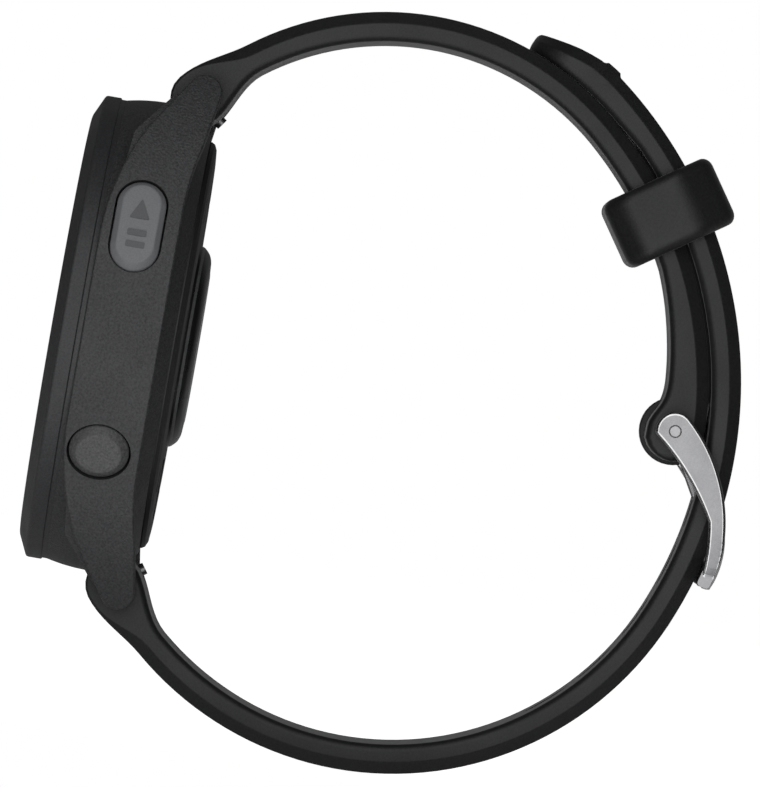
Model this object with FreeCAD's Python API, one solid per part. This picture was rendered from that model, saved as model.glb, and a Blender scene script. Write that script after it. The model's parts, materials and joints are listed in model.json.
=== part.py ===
import FreeCAD, Part
import math
import os

from FreeCAD import Vector

# GPS running watch, buckled: a round polymer case on a two-piece 22 mm strap.
# Millimetres.  The origin is the middle of the sensor window's flat rear face,
# which rests on the wrist.  +X points to the 3 o'clock side, +Z to 12 o'clock
# and -Y out of the display.

# ---- driving dimensions: case ----
FRONT_Y = -14.1          # front plane of the bezel
BEZEL_R = 23.05
BEZEL_LAND_R = 20.9      # where the bezel's front chamfer starts
BEZEL_CHAMFER_Y = -13.1
BEZEL_REAR_Y = -11.6
BODY_FRONT_Y = -11.05    # front edge of the housing
LENS_R = 19.75
LENS_Y = (-14.05, -12.65)
DRUM_R = 23.1
DRUM_CROWN_R = 23.3
DRUM_REAR_Y = -3.6
CAVITY_R = 19.8
LEDGE_R = 18.6           # opening in the ledge that the rear cover sits on
COVER_R = 20.3
COVER_SEAT_Y = -3.2
COVER_REAR_Y = -1.36

# ---- driving dimensions: side shields and lugs ----
SIDE_R = 43.4            # plan radius of a shield's outer face
SIDE_X = 20.2            # its centre lies this far across the case
SHIELD_ROUND = 0.2
FACET_INSET = 1.2        # the facet beside each lug lies this far below the shield
LUG_GAP = 22.3           # between the lugs, for a 22 mm strap
BAR_Y = -4.1
BAR_Z = 24.2
ROOT_CLEAR_R = 3.05      # hollow in the drum that the strap's root turns in

# ---- driving dimensions: keys ----
KEY_Y = -7.45
KEY_GAP = 0.2
KEY_PROUD = 0.45
KEY_BEVEL = 0.5
OVAL_LENGTH = 5.05       # along the case's rim
OVAL_WIDTH = 5.9         # from front to rear
START_LENGTH = 8.8
START_WIDTH = 4.8
START_ANGLE = 26.4
SIDE_ANGLE = 28.2
KEY_TRAVEL = 0.4
STEM_R = 0.8
RUNNING_GAP = 0.05
POCKET_FLOOR_R = 22.0    # distances from the case's axis
CAP_REAR_R = POCKET_FLOOR_R + KEY_TRAVEL + 0.1
STEM_END_R = 19.2
CLIP_R = (19.75, 20.15)
FLAT_R = 20.3

# ---- driving dimensions: sensor ----
SENSOR_LENS_R = 7.8
SENSOR_BASE_R = 10.1
SENSOR_WELL_R = 6.6
SENSOR_HOLE_R = 8.8

# ---- driving dimensions: straps, side view in (Y, Z) ----
STRAP_T = 2.9
LAYER_GAP = 0.3
WRAP = (10.34, -1.50)    # centre of the stretch where both straps lap
WRAP_R = 43.45           # outer face of the outer strap there
INNER_WRAP_R = WRAP_R - STRAP_T - LAYER_GAP
UPPER_R = 29.3           # outer face of the upper strap near its lug
UPPER_JOIN = 49.07       # angle where that arc runs into the lapped stretch
LOWER_R = 32.25
LOWER_JOIN = -23.36
STRAP_TIP = 65.2
ROOT_WIDTH = 21.96
WRAP_WIDTH = 20.0
ROOT_R = 2.65
HOLE_PITCH = 6.4
HOLE_WIDTH = 2.6
HOLE_LENGTH = 4.0
HOLES_UP = 6
HOLES_DOWN = 4
NECK = ((27, 37.35), (17, 36.75), (9, 36.3), (4.2, 35.0))  # inner face near the pin
FORK_HALF = 1.85         # slot in the strap end that the tongue's eye sits in
TIP_TAPER = ((56.5, 43.45), (59.6, 43.0), (63.0, 42.35), (66.5, 41.75))
TIP_CORNER_R = 5.0
STOP_ANGLES = (53.2, 56.0)  # raised bar across the strap's tip
STOP_HEIGHT = 0.3

# ---- driving dimensions: keeper, buckle, spring bars ----
KEEPER_ANGLE = 34.4
KEEPER_LENGTH = 7.05
KEEPER_WALLS = (2.75, 1.95)  # inside and outside the straps
PIN = (47.56, 0.07)
PIN_R = 0.75
PIN_TIP_R = 0.5
PIN_BOSS_R = 2.95        # strap end around the pin
PIN_SHAFT_HALF = 10.0
ARM_X = (10.25, 11.85)
CROSSBAR_ANGLE = -15.4
CROSSBAR_R = (WRAP_R + 0.3, 45.0)
CROSSBAR_LENGTH = 2.5
NOTCH_DEPTH = 0.7
TONGUE_T = 0.9
TONGUE_WIDTH = 2.0
TONGUE_HOLE_ANGLE = -7.5
TONGUE_BEND_ANGLE = -12.7  # beyond this the tongue lies along the crossbar
TONGUE_END_ANGLE = -16.9
BAR_TUBE_R = 0.9
BAR_BORE_R = 0.62
BAR_TIP_R = 0.4
BAR_TIP_X = 12.2
RELEASE_X = -7.4
RELEASE_TRAVEL = 1.4
RELEASE_TURN = -36.0     # direction of the release knob in (Y, Z)

X_AXIS = Vector(1, 0, 0)
Y_AXIS = Vector(0, 1, 0)
Z_AXIS = Vector(0, 0, 1)
ZERO = Vector(0, 0, 0)


# ---- helpers ----
def save(name, shape):
    shape.exportStep("parts/" + name + ".step")


def union(shapes):
    return shapes[0].multiFuse(shapes[1:]).removeSplitter()


def turned(points):
    """Solid of revolution about the case's axis from a (radius, y) outline."""
    corners = [Vector(r, y, 0) for r, y in points]
    face = Part.Face(Part.makePolygon(corners + corners[:1]))
    return face.revolve(ZERO, Y_AXIS, 360)


def ring(outer, inner, y_low, y_high):
    return turned([(inner, y_low), (outer, y_low), (outer, y_high), (inner, y_high)])


def disc(radius, y_low, y_high, x=0.0, z=0.0):
    return Part.makeCylinder(radius, y_high - y_low, Vector(x, y_low, z), Y_AXIS)


def block(x_range, y_range, z_range):
    sizes = [high - low for low, high in (x_range, y_range, z_range)]
    corner = Vector(x_range[0], y_range[0], z_range[0])
    return Part.makeBox(sizes[0], sizes[1], sizes[2], corner)


def rounded_block(x_range, y_range, z_range, radius):
    solid = block(x_range, y_range, z_range)
    upright = [e for e in solid.Edges if abs(e.tangentAt(e.FirstParameter).y) > 0.99]
    return solid.makeFillet(radius, upright)


def polar(centre, radius, degrees):
    """Side-view point at a radius and angle about a centre, as (Y, Z)."""
    turn = math.radians(degrees)
    return (centre[0] + radius * math.cos(turn), centre[1] + radius * math.sin(turn))


def side(point, x=0.0):
    return Vector(x, point[0], point[1])


def line(a, b):
    return Part.makeLine(side(a), side(b))


def arc(a, via, b):
    return Part.Arc(side(a), side(via), side(b)).toShape()


def slab(edges, x_low, x_high):
    """Extrude a closed side-view outline from x_low to x_high."""
    face = Part.Face(Part.Wire(Part.__sortEdges__(edges)))
    face.translate(Vector(x_low, 0, 0))
    return face.extrude(Vector(x_high - x_low, 0, 0))


def slab_polygon(points, x_low, x_high):
    edges = [line(a, b) for a, b in zip(points, points[1:] + points[:1])]
    return slab(edges, x_low, x_high)


def band(centre, r_in, r_out, start, end, half_width):
    """Curved strip between two radii and two angles of one centre."""
    middle = (start + end) / 2
    edges = [
        arc(polar(centre, r_out, start), polar(centre, r_out, middle), polar(centre, r_out, end)),
        line(polar(centre, r_out, end), polar(centre, r_in, end)),
        arc(polar(centre, r_in, end), polar(centre, r_in, middle), polar(centre, r_in, start)),
        line(polar(centre, r_in, start), polar(centre, r_out, start)),
    ]
    return slab(edges, -half_width, half_width)


def rod(centre, radius, x_low, x_high):
    """Round bar along X through a side-view point."""
    return Part.makeCylinder(radius, x_high - x_low, side(centre, x_low), X_AXIS)


def mirrored(shape, normal):
    return shape.mirror(ZERO, normal)


# ---- bezel, lens and display ----
def make_front():
    lens_front, lens_rear = LENS_Y
    gasket = 0.2
    spigot_r = CAVITY_R - 0.1
    bezel = turned([
        (LENS_R + 0.1, FRONT_Y), (BEZEL_LAND_R, FRONT_Y), (BEZEL_R, BEZEL_CHAMFER_Y),
        (BEZEL_R, BEZEL_REAR_Y), (22.6, BEZEL_REAR_Y), (22.6, BODY_FRONT_Y),
        (spigot_r, BODY_FRONT_Y), (spigot_r, BODY_FRONT_Y + 1.2), (LEDGE_R, BODY_FRONT_Y + 1.2),
        (LEDGE_R, lens_rear + gasket), (LENS_R + 0.1, lens_rear + gasket),
    ])
    antenna_groove = ring(22.15, 20.25, -12.25, BODY_FRONT_Y)
    save("bezel", bezel.cut(antenna_groove))
    save("gps_antenna", ring(22.1, 20.3, -12.2, -11.7))
    lens = turned([
        (0, lens_front), (LENS_R - 0.35, lens_front), (LENS_R, lens_front + 0.35),
        (LENS_R, lens_rear), (0, lens_rear),
    ])
    save("lens", lens)
    save("lens_gasket", ring(LENS_R, LEDGE_R + 0.1, lens_rear, lens_rear + gasket))
    save("display_panel", disc(17.9, lens_rear, -11.5))
    frame = disc(18.5, -11.5, -10.7)
    cable_slot = block((-5.0, 5.0), (-11.5, -10.7), (-17.0, -15.2))
    save("display_frame", frame.cut(cable_slot))


# ---- housing ----
def drum_profile():
    front = Vector(22.9, BODY_FRONT_Y, 0)
    crown = Vector(DRUM_CROWN_R, -8.6, 0)
    rear = Vector(DRUM_R, DRUM_REAR_Y, 0)
    facet = Vector(20.65, -2.2, 0)
    seat = Vector(COVER_R + 0.05, COVER_SEAT_Y, 0)
    seat_edge = Vector(COVER_R + 0.05, -2.2, 0)
    ledge = Vector(LEDGE_R, COVER_SEAT_Y, 0)
    ledge_front = Vector(LEDGE_R, -4.2, 0)
    wall = Vector(CAVITY_R, -4.2, 0)
    wall_front = Vector(CAVITY_R, BODY_FRONT_Y, 0)
    corners = [rear, facet, seat_edge, seat, ledge, ledge_front, wall, wall_front, front]
    edges = [Part.Arc(front, crown, rear).toShape()]
    edges += [Part.makeLine(a, b) for a, b in zip(corners, corners[1:])]
    return Part.Face(Part.Wire(Part.__sortEdges__(edges)))


def shield_outline():
    """Side view of one shield with its two lug arms, symmetric about Z = 0."""
    upper = [
        line((BODY_FRONT_Y, 0), (BODY_FRONT_Y, 9.0)),
        arc((BODY_FRONT_Y, 9.0), (-10.26, 15.2), (-8.4, 20.2)),
        line((-8.4, 20.2), (-4.7, 25.9)),
        arc((-4.7, 25.9), (-2.7, 26.3), (-1.75, 24.5)),
        line((-1.75, 24.5), (-2.55, 19.6)),
        arc((-2.55, 19.6), (-3.15, 16.4), (-3.4, 13.0)),
        line((-3.4, 13.0), (-3.4, 0)),
    ]
    lower = [edge.mirror(ZERO, Z_AXIS) for edge in upper]
    return upper + lower


def side_cylinder(x_centre, offset=0.0):
    return Part.makeCylinder(SIDE_R + offset, 20, Vector(x_centre, -16, 0), Y_AXIS)


def face_rim(shape, x_centre, radius):
    """Edges of a shape that lie on a side cylinder, with their middle points."""
    found = []
    for edge in shape.Edges:
        middle = edge.valueAt((edge.FirstParameter + edge.LastParameter) / 2)
        if abs(math.hypot(middle.x - x_centre, middle.z) - radius) < 0.01:
            found.append((edge, middle))
    return found


def make_shield():
    """Right-hand shield: curved outer face with a small round along its rim."""
    shield = slab(shield_outline(), LUG_GAP / 2, 26).common(side_cylinder(-SIDE_X))
    rim = [edge for edge, middle in face_rim(shield, -SIDE_X, SIDE_R)]
    shield = shield.makeFillet(SHIELD_ROUND, rim)
    corners = [(-9.9, 15.6), (-9.45, 19.9), (-6.6, 23.6), (-5.5, 24.7), (-8.2, 18.0)]
    facet = slab_polygon(corners, LUG_GAP / 2, 26)
    facet = facet.common(side_cylinder(-SIDE_X, -FACET_INSET))
    return union([shield, facet, mirrored(facet, Z_AXIS)])


def key_direction(degrees):
    turn = math.radians(degrees)
    return Vector(math.cos(turn), 0, math.sin(turn))


def key_rod(degrees, radius, r_low, r_high):
    """Round bar along a key's own axis between two distances from the case's axis."""
    out = key_direction(degrees)
    base = out * r_low + Vector(0, KEY_Y, 0)
    return Part.makeCylinder(radius, r_high - r_low, base, out)


def cap_prism(degrees, length, width, r_low, r_high):
    """Bar along a key's axis: oval, or stadium-shaped when it is longer than wide."""
    radius = width / 2
    reach = (length - width) / 2
    if reach <= 0:
        centre = Vector(r_low, KEY_Y, 0)
        widest = centre + Y_AXIS * radius
        longest = centre + Z_AXIS * (length / 2)
        oval = Part.Wire(Part.Ellipse(widest, longest, centre).toShape())
        prism = Part.Face(oval).extrude(X_AXIS * (r_high - r_low))
        prism.rotate(ZERO, Y_AXIS, -degrees)
        return prism
    ends = []
    for shift in (-reach, reach):
        base = Vector(r_low, KEY_Y, shift)
        ends.append(Part.makeCylinder(radius, r_high - r_low, base, X_AXIS))
    middle = block((r_low, r_high), (KEY_Y - radius, KEY_Y + radius), (-reach, reach))
    prism = union([middle] + ends)
    prism.rotate(ZERO, Y_AXIS, -degrees)
    return prism


KEYS = {
    "start_key": (START_ANGLE, START_LENGTH, START_WIDTH),
    "back_key": (-SIDE_ANGLE, OVAL_LENGTH, OVAL_WIDTH),
    "light_key": (180 - SIDE_ANGLE, OVAL_LENGTH, OVAL_WIDTH),
    "up_key": (180, OVAL_LENGTH, OVAL_WIDTH),
    "down_key": (180 + SIDE_ANGLE, OVAL_LENGTH, OVAL_WIDTH),
}
SCREW_ANGLES = (50, 130, 230, 310)
SCREW_CIRCLE_R = 17.4
SEAL_R = 1.6


def screw_centre(degrees):
    turn = math.radians(degrees)
    return SCREW_CIRCLE_R * math.cos(turn), SCREW_CIRCLE_R * math.sin(turn)


def make_housing():
    drum = drum_profile().revolve(ZERO, Y_AXIS, 360)
    right = make_shield()
    left = mirrored(right, X_AXIS)
    cavity = disc(CAVITY_R, BODY_FRONT_Y - 1, -4.2).fuse(disc(COVER_R + 0.05, COVER_SEAT_Y, 1))
    cavity = cavity.fuse(disc(LEDGE_R, -5, COVER_SEAT_Y))
    housing = union([drum, right, left]).cut(cavity)
    bosses = [disc(1.8, -9.0, COVER_SEAT_Y, *screw_centre(a)) for a in SCREW_ANGLES]
    housing = union([housing] + bosses)
    cuts = [disc(0.5, -8.0, COVER_SEAT_Y, *screw_centre(a)) for a in SCREW_ANGLES]
    cuts.append(ring(19.85, 19.25, -3.6, COVER_SEAT_Y))
    for end in (-1, 1):
        bar = (BAR_Y, end * BAR_Z)
        cuts.append(rod(bar, ROOT_CLEAR_R, -LUG_GAP / 2, LUG_GAP / 2))
        reach = BAR_TIP_X + 0.2
        cuts.append(rod(bar, BAR_TIP_R + RUNNING_GAP, -reach, reach))
    for degrees, length, width in KEYS.values():
        gap = 2 * KEY_GAP
        cuts.append(cap_prism(degrees, length + gap, width + gap, POCKET_FLOOR_R, 27))
        cuts.append(key_rod(degrees, STEM_R + RUNNING_GAP, 18, POCKET_FLOOR_R))
        cuts.append(key_rod(degrees, SEAL_R, POCKET_FLOOR_R - 0.8, POCKET_FLOOR_R))
        cuts.append(key_rod(degrees, 2.0, 18.8, FLAT_R))
    save("housing", housing.cut(cuts[0].multiFuse(cuts[1:])))


# ---- keys, their seals, clips and switches ----
def make_key(name, degrees, length, width):
    cap = cap_prism(degrees, length, width, CAP_REAR_R, 27)
    x_centre = -SIDE_X if math.cos(math.radians(degrees)) > 0 else SIDE_X
    cap = cap.common(side_cylinder(x_centre, KEY_PROUD))
    rim = [edge for edge, middle in face_rim(cap, x_centre, SIDE_R + KEY_PROUD)]
    cap = cap.makeChamfer(KEY_BEVEL, rim)
    stem = key_rod(degrees, STEM_R, STEM_END_R, CAP_REAR_R + 0.5)
    groove = key_rod(degrees, 2, *CLIP_R).cut(key_rod(degrees, 0.5, *CLIP_R))
    save(name, cap.fuse(stem).removeSplitter().cut(groove))
    clip = key_rod(degrees, 1.5, *CLIP_R).cut(key_rod(degrees, 0.5, *CLIP_R))
    opening = block((0, 30), (KEY_Y - 0.35, KEY_Y + 2), (-0.35, 0.35))
    opening.rotate(ZERO, Y_AXIS, -degrees)
    save(name + "_clip", clip.cut(opening))


def make_keys():
    seals = []
    switches = []
    for name, (degrees, length, width) in KEYS.items():
        make_key(name, degrees, length, width)
        inner = key_rod(degrees, STEM_R + RUNNING_GAP, 21, POCKET_FLOOR_R)
        seals.append(key_rod(degrees, SEAL_R, POCKET_FLOOR_R - 0.7, POCKET_FLOOR_R).cut(inner))
        base = key_rod(degrees, 1.5, 17.4, 18.5)
        dome = key_rod(degrees, 0.8, 18.5, 18.7)
        switches.append(base.fuse(dome))
    save("key_seals", Part.makeCompound(seals))
    save("key_switches", Part.makeCompound(switches))


# ---- rear cover and what is fixed to it ----
SOCKET_Z = -14.3
SOCKET_SIZE = (8.8, 6.0)
SOCKET_WELL = (7.2, 4.4)
VENT_X = -13.5


def make_rear():
    cover = turned([
        (SENSOR_HOLE_R, COVER_SEAT_Y), (COVER_R, COVER_SEAT_Y), (COVER_R, -2.05), (20.1, -1.72),
        (19.6, -1.5), (18.5, -1.4), (SENSOR_BASE_R, COVER_REAR_Y), (SENSOR_HOLE_R, COVER_REAR_Y),
    ])
    half_x = SOCKET_SIZE[0] / 2
    half_z = SOCKET_SIZE[1] / 2
    z_range = (SOCKET_Z - half_z, SOCKET_Z + half_z)
    window = rounded_block((-half_x, half_x), (-4, 0), z_range, 1.2)
    cover = cover.cut(window)
    screws = []
    for degrees in SCREW_ANGLES:
        x, z = screw_centre(degrees)
        cover = cover.cut(disc(0.7, -4, 0, x, z)).cut(disc(1.3, -2.3, 0, x, z))
        head = disc(1.2, -2.3, -1.8, x, z)
        drive = block((x - 0.9, x + 0.9), (-2.0, -1.8), (z - 0.15, z + 0.15))
        shank = disc(0.5, -7.2, -2.3, x, z)
        screws.append(head.cut(drive).fuse(shank))
    cover = cover.cut(disc(0.5, -4, 0, VENT_X, 0))
    save("rear_cover", cover)
    save("cover_screws", Part.makeCompound(screws))
    save("cover_seal", ring(19.8, 19.3, -3.6, COVER_SEAT_Y))
    save("vent_membrane", disc(1.2, -3.4, COVER_SEAT_Y, VENT_X, 0))
    well_x = SOCKET_WELL[0] / 2
    well_z = SOCKET_WELL[1] / 2
    socket = rounded_block((-half_x, half_x), (-5.2, -1.56), z_range, 1.2)
    well = rounded_block((-well_x, well_x), (-4.5, 0), (SOCKET_Z - well_z, SOCKET_Z + well_z), 0.8)
    socket = socket.cut(well)
    contacts = []
    for x in (-2.1, -0.7, 0.7, 2.1):
        pad = disc(0.45, -5.6, -4.1, x, SOCKET_Z)
        contacts.append(pad)
        socket = socket.cut(pad)
    save("charge_socket", socket)
    save("charge_contacts", Part.makeCompound(contacts))


def make_sensor():
    seat_y = -1.0
    ring_profile = [
        (SENSOR_WELL_R, -2.4), (SENSOR_HOLE_R - 0.05, -2.4), (SENSOR_HOLE_R - 0.05, COVER_REAR_Y),
        (SENSOR_BASE_R, COVER_REAR_Y), (9.8, -0.78), (9.3, -0.34), (8.7, -0.12),
        (SENSOR_LENS_R + 0.05, -0.06),
        (SENSOR_LENS_R + 0.05, seat_y), (SENSOR_WELL_R, seat_y),
    ]
    save("sensor_ring", turned(ring_profile))
    lens = turned([
        (0, seat_y), (SENSOR_LENS_R, seat_y), (SENSOR_LENS_R, -0.15),
        (SENSOR_LENS_R - 0.15, -0.05), (SENSOR_LENS_R - 0.5, 0), (0, 0),
    ])
    save("sensor_lens", lens)
    save("sensor_board", disc(SENSOR_HOLE_R - 0.1, COVER_SEAT_Y, -2.4))
    emitters = [block((-1.0, 1.0), (-2.4, -1.6), (-0.8, 0.8))]
    for degrees in range(45, 360, 90):
        turn = math.radians(degrees)
        x = 4.1 * math.cos(turn)
        z = 4.1 * math.sin(turn)
        emitters.append(block((x - 0.9, x + 0.9), (-2.4, -1.7), (z - 0.9, z + 0.9)))
    save("sensor_emitters", Part.makeCompound(emitters))
    barrier = ring(2.5, 1.9, -2.4, -1.05)
    for degrees in range(0, 360, 90):
        wall = block((2.2, SENSOR_WELL_R - 0.1), (-2.4, -1.05), (-0.3, 0.3))
        wall.rotate(ZERO, Y_AXIS, degrees)
        barrier = barrier.fuse(wall)
    save("light_barrier", barrier)


# ---- what is sealed inside ----
def make_inside():
    board = disc(16.8, -10.5, -9.7)
    save("main_board", board.cut(block((-5.0, 5.0), (-11, -9), (-17, -14.8))))
    save("shield_can", rounded_block((-7, 7), (-9.7, -8.5), (-6, 6), 0.8))
    save("battery", rounded_block((-10.5, 10.5), (-8.2, -4.4), (-10, 8.5), 2.0))
    save("vibration_motor", disc(3.2, -8.2, -5.6, -4.2, 12.6))
    buzzer = disc(3.2, -8.2, -7.2, 4.2, 12.6).fuse(disc(2.3, -7.2, -6.8, 4.2, 12.6))
    save("buzzer", buzzer)


# ---- straps ----
BARS = {"upper": (BAR_Y, BAR_Z), "lower": (BAR_Y, -BAR_Z)}
UPPER_CENTRE = polar(WRAP, INNER_WRAP_R - UPPER_R, UPPER_JOIN)
LOWER_CENTRE = polar(WRAP, WRAP_R - LOWER_R, LOWER_JOIN)


def angle_about(centre, point):
    return math.degrees(math.atan2(point[1] - centre[1], point[0] - centre[0])) % 360


def strap_root(centre, outer_r, bar, step):
    """Thick end of a strap around its spring bar, blending into the strap."""
    at_bar = angle_about(centre, bar)
    mid_r = math.hypot(bar[0] - centre[0], bar[1] - centre[1])
    half = ROOT_WIDTH / 2
    blend = at_bar + step
    cheek = slab_polygon([
        polar(centre, mid_r + ROOT_R, at_bar), polar(centre, outer_r, blend),
        polar(centre, outer_r - STRAP_T, blend), polar(centre, mid_r - 2.9, at_bar),
    ], -half, half)
    nose = rod(bar, ROOT_R, -half, half)
    start = min(at_bar, blend - step * 0.1)
    end = max(at_bar, blend - step * 0.1)
    stub = band(centre, outer_r - STRAP_T, outer_r, start, end, half)
    return [cheek, nose, stub]


def root_cuts(bar, towards):
    """Bore for the spring bar and the slot that the release knob slides in."""
    slot_low = RELEASE_X - 1.1
    slot_high = RELEASE_X + RELEASE_TRAVEL + 1.1
    slot = Part.makeBox(slot_high - slot_low, 5.0, 2.2, Vector(slot_low, 0, -1.1))
    slot.rotate(ZERO, X_AXIS, towards)
    slot.translate(side(bar))
    half = ROOT_WIDTH / 2 + 1
    return rod(bar, BAR_TUBE_R + RUNNING_GAP, -half, half).fuse(slot)


def width_taper(y_from, z_wide, z_narrow):
    """Wedges that narrow a strap from its lug width to its lapped width."""
    wide = ROOT_WIDTH / 2
    narrow = WRAP_WIDTH / 2
    far = 14.0
    last = -1.2 * z_wide
    wedges = []
    for sign in (-1, 1):
        corners = [(wide, z_wide), (narrow, z_narrow), (narrow, last), (far, last), (far, z_wide)]
        points = [Vector(sign * x, y_from, z) for x, z in corners]
        face = Part.Face(Part.makePolygon(points + points[:1]))
        wedges.append(face.extrude(Vector(0, 60, 0)))
    return wedges[0].fuse(wedges[1])


def tongue_tip_r():
    """Radius of the tongue's middle where it lies in the crossbar's notch."""
    return CROSSBAR_R[1] - NOTCH_DEPTH + 0.05 + TONGUE_T / 2


def tongue_path():
    middle = polar(WRAP, 40.95, -6.4)
    end = polar(WRAP, tongue_tip_r(), TONGUE_BEND_ANGLE)
    return PIN, middle, end


def tongue_bar(thickness, half_width):
    """Curved bar of even thickness from the pin to its bend over the crossbar."""
    curve = Part.Arc(*[side(p) for p in tongue_path()]).toShape().Curve
    centre = curve.Center
    offsets = []
    for grow in (-thickness / 2, thickness / 2):
        points = []
        for p in tongue_path():
            ray = side(p) - centre
            points.append(centre + ray.normalize() * (curve.Radius + grow))
        offsets.append(points)
    inner, outer = offsets
    edges = [
        Part.Arc(*inner).toShape(),
        Part.makeLine(inner[2], outer[2]),
        Part.Arc(*outer).toShape(),
        Part.makeLine(outer[0], inner[0]),
    ]
    return slab(edges, -half_width, half_width)


def make_upper_strap():
    bar = BARS["upper"]
    half = ROOT_WIDTH / 2
    near = band(UPPER_CENTRE, UPPER_R - STRAP_T, UPPER_R, UPPER_JOIN, 130, half)
    inner_r = INNER_WRAP_R - STRAP_T
    pin_angle = angle_about(WRAP, PIN)
    lapped = band(WRAP, inner_r, INNER_WRAP_R, pin_angle, UPPER_JOIN, half)
    start, via, step, end = [polar(WRAP, r, degrees) for degrees, r in NECK]
    core_r = inner_r + STRAP_T / 2
    core_end = polar(WRAP, core_r, pin_angle)
    core_start = polar(WRAP, core_r, NECK[0][0])
    neck = slab([
        arc(start, via, step), line(step, end), line(end, core_end),
        arc(core_end, polar(WRAP, core_r, 14), core_start), line(core_start, start),
    ], -half, half)
    boss = rod(PIN, PIN_BOSS_R, -half, half)
    root = strap_root(UPPER_CENTRE, UPPER_R, bar, -14)
    strap = union([near, lapped, neck, boss] + root)
    strap = strap.cut(width_taper(UPPER_CENTRE[0], 35.5, 27.5))
    strap = strap.cut(root_cuts(bar, RELEASE_TURN))
    strap = strap.cut(rod(PIN, PIN_R, -half, half))
    save("upper_strap", strap.cut(rod(PIN, PIN_BOSS_R + 0.6, -FORK_HALF, FORK_HALF)))


def strap_hole(travel):
    """Oval adjusting hole at an arc length past the hole in use, towards the tip."""
    mid_r = WRAP_R - STRAP_T / 2
    degrees = TONGUE_HOLE_ANGLE + math.degrees(travel / mid_r)
    centre = WRAP
    if degrees < LOWER_JOIN:
        left = (degrees - LOWER_JOIN) * mid_r
        mid_r = LOWER_R - STRAP_T / 2
        centre = LOWER_CENTRE
        degrees = LOWER_JOIN + left / mid_r
    reach = (HOLE_LENGTH - HOLE_WIDTH) / 2
    radius = HOLE_WIDTH / 2
    middle = block((-radius, radius), (mid_r - 3, mid_r + 3), (-reach, reach))
    ends = [disc(radius, mid_r - 3, mid_r + 3, 0, z) for z in (-reach, reach)]
    hole = union([middle] + ends)
    hole.rotate(ZERO, X_AXIS, degrees)
    hole.translate(side(centre))
    return hole


def tip_corners():
    """What is cut away to round the two corners of the lower strap's tip."""
    corner = TIP_CORNER_R
    half = WRAP_WIDTH / 2
    depth = (WRAP_R - 10, WRAP_R + 10)
    corners = block((-half - 1, half + 1), depth, (-corner, 0))
    rounds = [disc(corner, *depth, x, -corner) for x in (half - corner, corner - half)]
    middle = block((corner - half, half - corner), depth, (-corner, 0))
    corners = corners.cut(middle.multiFuse(rounds))
    corners.rotate(ZERO, X_AXIS, STRAP_TIP)
    corners.translate(side(WRAP))
    return corners


def make_lower_strap():
    bar = BARS["lower"]
    half = ROOT_WIDTH / 2
    inner_r = WRAP_R - STRAP_T
    lapped = band(WRAP, inner_r, WRAP_R, LOWER_JOIN, STRAP_TIP, half)
    near = band(LOWER_CENTRE, LOWER_R - STRAP_T, LOWER_R, 228, 360 + LOWER_JOIN, half)
    root = strap_root(LOWER_CENTRE, LOWER_R, bar, 13)
    taper = [polar(WRAP, r, degrees) for degrees, r in TIP_TAPER]
    outside = [polar(WRAP, 50, TIP_TAPER[-1][0]), polar(WRAP, 50, TIP_TAPER[0][0])]
    strap = union([near, lapped] + root)
    strap = strap.cut(slab_polygon(taper + outside, -half - 1, half + 1))
    strap = strap.cut(width_taper(LOWER_CENTRE[0], -36.0, -18.0)).cut(tip_corners())
    stop_r = (WRAP_R - 0.5, WRAP_R + STOP_HEIGHT)
    strap = strap.fuse(band(WRAP, *stop_r, *STOP_ANGLES, WRAP_WIDTH / 2 - 1))
    strap = strap.cut(root_cuts(bar, -RELEASE_TURN))
    for step in range(-HOLES_DOWN, HOLES_UP + 1):
        strap = strap.cut(strap_hole(step * HOLE_PITCH))
    room = tongue_bar(TONGUE_T + 0.6, TONGUE_WIDTH / 2 + 0.3)
    save("lower_strap", strap.cut(room).removeSplitter())


def make_keeper():
    middle_r = (WRAP_R + INNER_WRAP_R - STRAP_T) / 2
    inner_half = (WRAP_R - INNER_WRAP_R + STRAP_T) / 2 + 0.4
    half_x = WRAP_WIDTH / 2 + 0.3
    half_z = KEEPER_LENGTH / 2
    inside, outside = KEEPER_WALLS
    y_range = (middle_r - inner_half - inside, middle_r + inner_half + outside)
    wall_x = half_x + 1.8
    shell = block((-wall_x, wall_x), y_range, (-half_z, half_z))
    shell = shell.makeFillet(1.5, shell.Edges)
    hole = block((-half_x, half_x), (middle_r - inner_half, middle_r + inner_half), (-9, 9))
    keeper = shell.cut(hole)
    keeper.rotate(ZERO, X_AXIS, KEEPER_ANGLE)
    keeper.translate(side(WRAP))
    save("strap_keeper", keeper)


# ---- buckle ----
def arm_outline():
    """Side view of a buckle arm: round head on the pin, then a curved blade."""
    head = 1.9
    outer_head = polar(PIN, head, 42)
    inner_head = polar(PIN, head, 196)
    outer_foot = (53.65, -14.45)
    inner_foot = (52.45, -14.3)
    return [
        arc(inner_head, polar(PIN, head, 110), outer_head),
        arc(outer_head, (52.3, -3.0), (54.15, -9.3)),
        arc((54.15, -9.3), (54.25, -12.0), outer_foot),
        line(outer_foot, inner_foot),
        arc(inner_foot, (52.62, -11.5), (52.3, -8.1)),
        arc((52.3, -8.1), (50.2, -4.9), inner_head),
    ]


def radial_block(x_range, r_range, length, degrees):
    shape = block(x_range, r_range, (-length / 2, length / 2))
    shape.rotate(ZERO, X_AXIS, degrees)
    shape.translate(side(WRAP))
    return shape


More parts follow.
